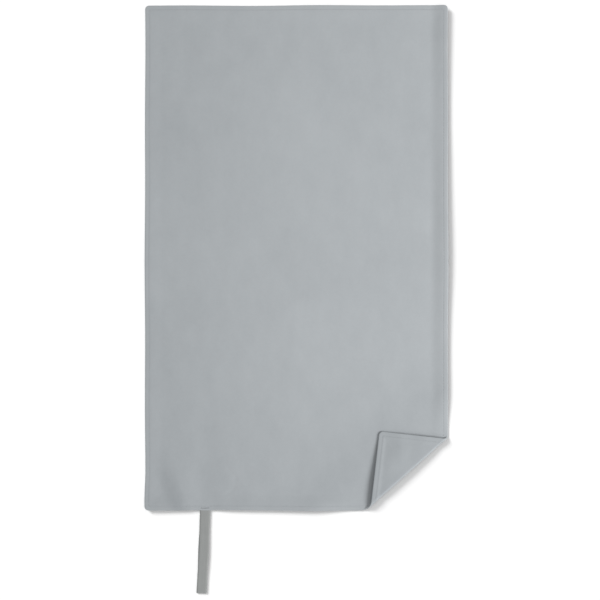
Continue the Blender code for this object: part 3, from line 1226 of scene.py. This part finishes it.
@dataclass
class Stitching:
    """Rows of sewn stitches, each a short rounded length of thread that dips into the cloth."""

    shape: ClothShape
    cloth: TowelCloth
    pitch: float = 3.0 * MM
    length: float = 2.35 * MM
    thread: float = 0.17 * MM
    sides: int = 6
    stations: int = 7
    tack_pitch: float = 0.42 * MM
    tack_thread: float = 0.15 * MM
    tack_inset: float = 0.2 * MM
    tack_slant: float = 0.12

    def seam_route(self) -> list[StitchRow]:
        """Each stitch of the hem seam: its middle on the flat cloth and its direction.

        Returns:
            Rows of x, y and the direction's x and y.
        """
        layout, inset = self.shape.layout, self.shape.stitch_inset
        low_x, high_x = layout.left + inset, layout.right - inset
        low_y, high_y = layout.bottom + inset, layout.top - inset
        half = self.pitch / 2
        rows = []
        for y in (low_y, high_y):
            rows += [(x, y, 1.0, 0.0) for x in spaced(low_x + half, high_x - half, self.pitch)]
        for x in (low_x, high_x):
            rows += [(x, y, 0.0, 1.0) for y in spaced(low_y + half, high_y - half, self.pitch)]
        return rows

    def tack_route(self) -> list[StitchRow]:
        """Each stitch of the bar-tack that locks the loop's tails in the hem.

        Returns:
            Rows of x, y and the direction's x and y.
        """
        low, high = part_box("loop_bar_tack")
        middle = (low[1] + high[1]) / 2
        places = spaced(low[0] + self.tack_inset, high[0] - self.tack_inset, self.tack_pitch)
        return [(x, middle, self.tack_slant, 1.0) for x in places]

    def sew(
        self,
        rows: Sequence[StitchRow],
        length: float,
        thread: float,
    ) -> tuple[Points, Points, list[list[int]]]:
        """Make the thread of some stitches on both faces of the cloth.

        Args:
            rows: The stitches' middles and directions.
            length: How long each stitch is.
            thread: The thread's radius.

        Returns:
            The vertices where they lie, where they are on the flat cloth, and the faces.
        """
        turn = np.arange(self.sides) * 2 * math.pi / self.sides
        share = np.linspace(-1.0, 1.0, self.stations)
        girth = thread * np.sqrt(np.maximum(1.0 - share**4, 0.06))
        rise = thread * (0.75 - 1.9 * share**4)
        places, flats, faces = [], [], []
        count = 0
        for x, y, run_x, run_y in rows:
            norm = math.hypot(run_x, run_y)
            run_x, run_y = run_x / norm, run_y / norm
            centre_x = x + run_x * share * length / 2
            centre_y = y + run_y * share * length / 2
            front, reverse = self.shape.heights(centre_x, centre_y)
            for face, surface in ((Face.FRONT, front), (Face.REVERSE, reverse)):
                grid_x = centre_x[:, None] - run_y * girth[:, None] * np.cos(turn)[None, :]
                grid_y = centre_y[:, None] + run_x * girth[:, None] * np.cos(turn)[None, :]
                lift = face.value * (rise[:, None] + girth[:, None] * 0.8 * np.sin(turn)[None, :])
                grid_z = surface[:, None] + lift
                placed = self.shape.place(grid_x.ravel(), grid_y.ravel(), grid_z.ravel())
                places.append(placed)
                flats.append(np.stack([grid_x.ravel(), grid_y.ravel(), grid_z.ravel()], axis=1))
                faces += self.tube_faces(count)
                count += len(placed)
        return np.concatenate(places), np.concatenate(flats), faces

    def tube_faces(self, first: int) -> list[list[int]]:
        """Faces of one short closed tube.

        Args:
            first: The number of its first vertex.

        Returns:
            The vertices of each face.
        """
        faces = []
        for station in range(self.stations - 1):
            for side in range(self.sides):
                after = (side + 1) % self.sides
                here, following = first + station * self.sides, first + (station + 1) * self.sides
                faces.append([here + side, here + after, following + after, following + side])
        last = first + (self.stations - 1) * self.sides
        faces.append([first + side for side in reversed(range(self.sides))])
        faces.append([last + side for side in range(self.sides)])
        return faces

    def build(self, material: bpy.types.Material) -> None:
        """Sew the hem seam in one piece for each piece of cloth, and the bar-tack.

        Args:
            material: The thread's finish.
        """
        groups: dict[str, list[StitchRow]] = {}
        for row in self.seam_route():
            groups.setdefault(self.cloth.piece_of(row[0], row[1]), []).append(row)
        nodes = {
            "cloth_upper": ("seam_top", "seam_left_upper", "seam_right_upper"),
            "cloth_lower": ("seam_bottom", "seam_left_lower", "seam_right_lower"),
            "cloth_crease": (),
            "cloth_corner": ("corner_seam_side", "corner_seam_end"),
        }
        for cloth_name, rows in sorted(groups.items()):
            name = cloth_name.replace("cloth", "hem_stitches")
            places, flats, faces = self.sew(rows, self.length, self.thread)
            piece = new_piece(name, places, faces, flats)
            dress(piece, material)
            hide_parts(*nodes[cloth_name])
            self.hang(piece, cloth_name)
            LOG.info("%s: %d stitches", name, len(rows))
        low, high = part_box("loop_bar_tack")
        depth = high[1] - low[1]
        places, flats, faces = self.sew(self.tack_route(), depth * 1.15, self.tack_thread)
        tack = new_piece("loop_bar_tack_stitches", places, faces, flats)
        dress(tack, material)
        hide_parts("loop_bar_tack")
        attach(tack, Body.LOWER.value)
        LOG.info("bar-tack sewn")

    def hang(self, piece: bpy.types.Object, cloth_name: str) -> None:
        """Attach stitches to the body of the piece of cloth that they are sewn to, or bake them in place for
        the upper and the crease pieces.

        Args:
            piece: The stitches.
            cloth_name: The name of that piece of cloth.
        """
        if cloth_name == "cloth_upper":
            self.cloth.bend_middle(piece)
        elif cloth_name == "cloth_crease":
            self.cloth.bend_corner(piece)
        else:
            body = Body.LOWER if cloth_name == "cloth_lower" else Body.CORNER
            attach(piece, body.value)


# ---------------------------------------------------------------------------------------------
# The hanging loop
# ---------------------------------------------------------------------------------------------


@dataclass
class HangingLoop:
    """A flat woven tape, doubled over, with both tails inside the bottom hem."""

    layout: Layout
    rib_pitch: float = 0.80 * MM
    rib_depth: float = 0.045 * MM
    steps_per_rib: int = 4
    edge_round: float = 0.28 * MM
    turn_steps: int = 12
    leg_bow: float = 0.35 * MM
    leg_stray: float = 0.30 * MM
    edge_drift: float = 0.12 * MM
    rest_lift: float = 0.10 * MM
    bend_run: float = 7.0 * MM

    def sizes(self) -> tuple[float, float, float, float]:
        """Read the tape's sizes from the frame.

        Returns:
            Its width and thickness, the height of the doubled tape and how far it reaches.
        """
        front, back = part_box("loop_front_leg"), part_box("loop_back_leg")
        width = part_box("loop_tails")[1][0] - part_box("loop_tails")[0][0]
        thickness = back[1][2] - back[0][2]
        return width, thickness, front[1][2], self.reach().length

    def reach(self) -> Vector:
        """The way from where the loop leaves the hem to its far end.

        Returns:
            The way, level with the table.
        """
        low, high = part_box("loop_end_turn")
        start = Vector((self.layout.loop_x, self.layout.loop_edge_y, 0.0))
        return Vector(((low[0] + high[0]) / 2, low[1], 0.0)) - start

    def centre_line(self, length: float, thickness: float, height: float) -> Points:
        """The middle of the tape's thickness from one tail round to the other.

        Args:
            length: How far the doubled tape reaches.
            thickness: The tape's thickness.
            height: The height of the doubled tape.

        Returns:
            Rows of distance out from the hem, height, heading's out and up parts, and tape length so far.
        """
        tail = self.layout.hem_width - 0.6 * MM
        radius = (height - thickness) / 2
        straight = length - height / 2
        outs = spaced(-tail, straight, self.rib_pitch / self.steps_per_rib)
        rows = [(out, thickness / 2, 1.0, 0.0, out + tail) for out in outs]
        turned = straight + tail
        for angle in spaced(0.0, math.pi, math.pi / self.turn_steps)[1:-1]:
            out = straight + radius * math.sin(angle)
            up = height / 2 - radius * math.cos(angle)
            rows.append((out, up, math.cos(angle), math.sin(angle), turned + radius * angle))
        turned += radius * math.pi
        rows += [(out, height - thickness / 2, -1.0, 0.0, turned + straight - out) for out in reversed(outs)]
        return np.array(rows)

    def outline(self, width: float, thickness: float) -> list[tuple[float, float]]:
        """The tape's cross-section.

        Args:
            width: The tape's width.
            thickness: The tape's thickness.

        Returns:
            The places round it: how far across the tape, and how far through it.
        """
        half, deep, edge = width / 2, thickness / 2, self.edge_round
        inner = [half - edge, half * 0.72, half * 0.4, 0.0, -half * 0.4, -half * 0.72, -half + edge]
        upper = [(across, deep) for across in inner]
        lower = [(across, -deep) for across in reversed(inner)]
        return [(half, 0.0), *upper, (-half, 0.0), *lower]

    def build(self, material: bpy.types.Material) -> None:
        """Weave the tape and fold it into the loop.

        Args:
            material: The tape's finish.
        """
        width, thickness, height, length = self.sizes()
        line = self.centre_line(length, thickness, height)
        section = self.outline(width, thickness)
        total = float(line[-1, 4])
        heading = self.reach().normalized()
        across_way = Vector((-heading.y, heading.x, 0.0))
        start = Vector((self.layout.loop_x, self.layout.loop_edge_y, 0.0))
        places, flats = [], []
        for out, up, run_out, run_up, travelled in line:
            rib = 1.0 + self.rib_depth / thickness * 2 * math.cos(2 * math.pi * travelled / self.rib_pitch)
            side = 1.0 if travelled > total / 2 else 0.0
            arch = math.sin(math.pi * min(max(out, 0.0) / length, 1.0))
            stray = self.leg_stray * side * arch + self.edge_drift * math.sin(travelled / (9 * MM))
            lift = self.rest_lift + self.leg_bow * side * arch * arch
            for across, deep in section:
                sideways = across * (1.0 - 0.025 * math.sin(travelled / (13 * MM)) ** 2) + stray
                place = start + heading * (out - run_up * deep * rib) + across_way * sideways
                place.z = up + run_out * deep * rib + lift
                places.append(tuple(place))
                flats.append((across, travelled, deep))
        faces = self.faces(len(line), len(section))
        tape = new_piece("hanging_loop_tape", np.array(places), faces, np.array(flats))
        tape.data.set_sharp_from_angle(angle=math.radians(60))
        dress(tape, material)
        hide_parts("loop_front_leg", "loop_back_leg", "loop_end_turn", "loop_tails")
        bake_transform(tape)
        LOG.info("loop tape %.1f mm long and %.1f mm wide", total / MM, width / MM)

    @staticmethod
    def faces(rings: int, sides: int) -> list[list[int]]:
        """Faces of a closed tube.

        Args:
            rings: How many rings it has.
            sides: How many vertices a ring has.

        Returns:
            The vertices of each face.
        """
        faces = [list(range(sides))[::-1], [(rings - 1) * sides + side for side in range(sides)]]
        for ring in range(rings - 1):
            for side in range(sides):
                after = (side + 1) % sides
                here, following = ring * sides, (ring + 1) * sides
                faces.append([here + side, here + after, following + after, following + side])
        return faces


# ---------------------------------------------------------------------------------------------
# The studio
# ---------------------------------------------------------------------------------------------


@dataclass
class Studio:
    """A pale floor, soft light and a camera straight above the towel.

    Angles are in degrees, and the rest in metres, except the lights' own strengths.
    """

    floor_size: float = 8.0
    surround: float = 0.68
    low_light: float = 3.0
    low_light_height: float = 29.0
    low_light_turn: float = 50.0
    low_light_spread: float = 24.0
    box_place: tuple[float, float, float] = (1.5, -0.45, 1.25)
    box_target: tuple[float, float, float] = (0.08, -0.10, 0.0)
    box_size: float = 0.90
    box_power: float = 36.0
    view_height: float = 1.65
    view_width: float = 0.5946
    aim_x: float = 0.00357
    aim_y: float = -0.00056
    sensor: float = 36.0

    def build(self) -> None:
        """Make the floor, the light and the camera."""
        floor = self.build_floor()
        self.build_world()
        self.build_low_light(floor)
        self.build_box(floor)
        self.build_camera()
        bpy.context.scene.view_settings.view_transform = "Standard"
        LOG.info("studio ready")

    def build_floor(self) -> bpy.types.Object:
        """Lay a large flat floor under the towel.

        Returns:
            The floor.
        """
        half = self.floor_size / 2
        places = np.array([(-half, -half, 0.0), (half, -half, 0.0), (half, half, 0.0), (-half, half, 0.0)])
        floor = new_piece("studio_floor", places, [[0, 1, 2, 3]])
        floor.data.materials.append(FloorFinish().build("floor_paper"))
        return floor

    def build_world(self) -> None:
        """An even white surround."""
        world = bpy.data.worlds.new("studio_surround")
        world.use_nodes = True
        background = world.node_tree.nodes["Background"]
        background.inputs["Color"].default_value = (1.0, 1.0, 1.0, 1.0)
        background.inputs["Strength"].default_value = self.surround
        bpy.context.scene.world = world

    def build_low_light(self, floor: bpy.types.Object) -> None:
        """Hang a wide soft light low in the upper left, for the soft shadow on the floor alone.

        Args:
            floor: The floor, which is all that it lights.
        """
        light = bpy.data.lights.new("low_light", "SUN")
        light.energy = self.low_light
        light.angle = math.radians(self.low_light_spread)
        height, turn = math.radians(self.low_light_height), math.radians(self.low_light_turn)
        level = math.cos(height)
        place = Vector((-math.sin(turn) * level, math.cos(turn) * level, math.sin(height)))
        lamp = self.hang(light, place * 3.0, Vector())
        lit = bpy.data.collections.new("lit_by_low_light")
        lit.objects.link(floor)
        lamp.light_linking.receiver_collection = lit

    def build_box(self, floor: bpy.types.Object) -> None:
        """Hang a soft box to the lower right, which shades the towel's relief.

        Args:
            floor: The floor, which the box is flagged off.
        """
        light = bpy.data.lights.new("soft_box", "AREA")
        light.shape = "SQUARE"
        light.size = self.box_size
        light.energy = self.box_power
        lamp = self.hang(light, Vector(self.box_place), Vector(self.box_target))
        flagged = bpy.data.collections.new("flagged_off")
        flagged.objects.link(floor)
        flagged.collection_objects[0].light_linking.link_state = "EXCLUDE"
        lamp.light_linking.receiver_collection = flagged

    @staticmethod
    def hang(light: bpy.types.Light, place: Vector, target: Vector) -> bpy.types.Object:
        """Hang a light so that it faces a point.

        Args:
            light: The light.
            place: Where it hangs.
            target: What it faces.

        Returns:
            The hung light.
        """
        lamp = bpy.data.objects.new(light.name, light)
        lamp.location = place
        lamp.rotation_euler = (target - place).to_track_quat("-Z", "Y").to_euler()
        bpy.context.scene.collection.objects.link(lamp)
        return lamp

    def build_camera(self) -> None:
        """A long lens straight above the towel."""
        camera = bpy.data.cameras.new("camera")
        camera.sensor_width = self.sensor
        camera.lens = self.sensor * self.view_height / self.view_width
        camera.clip_end = 20.0
        viewer = bpy.data.objects.new("camera", camera)
        viewer.location = (self.aim_x, self.aim_y, self.view_height)
        bpy.context.scene.collection.objects.link(viewer)
        bpy.context.scene.camera = viewer


def main() -> None:
    """Build the towel in order and report each piece."""
    logging.basicConfig(level=logging.INFO, format="%(name)s: %(message)s")
    layout = Layout.from_frame()
    Studio().build()
    shape = ClothShape(layout)
    cloth_material = ClothFinish().build("microfibre_cloth")
    thread_material = ThreadFinish().build("sewing_thread")
    tape_material = TapeFinish().build("woven_tape")
    cloth = TowelCloth(shape)
    cloth.build()
    cloth.settle(cloth_material)
    Stitching(shape, cloth).build(thread_material)
    HangingLoop(layout).build(tape_material)


if __name__ == "__main__":
    main()
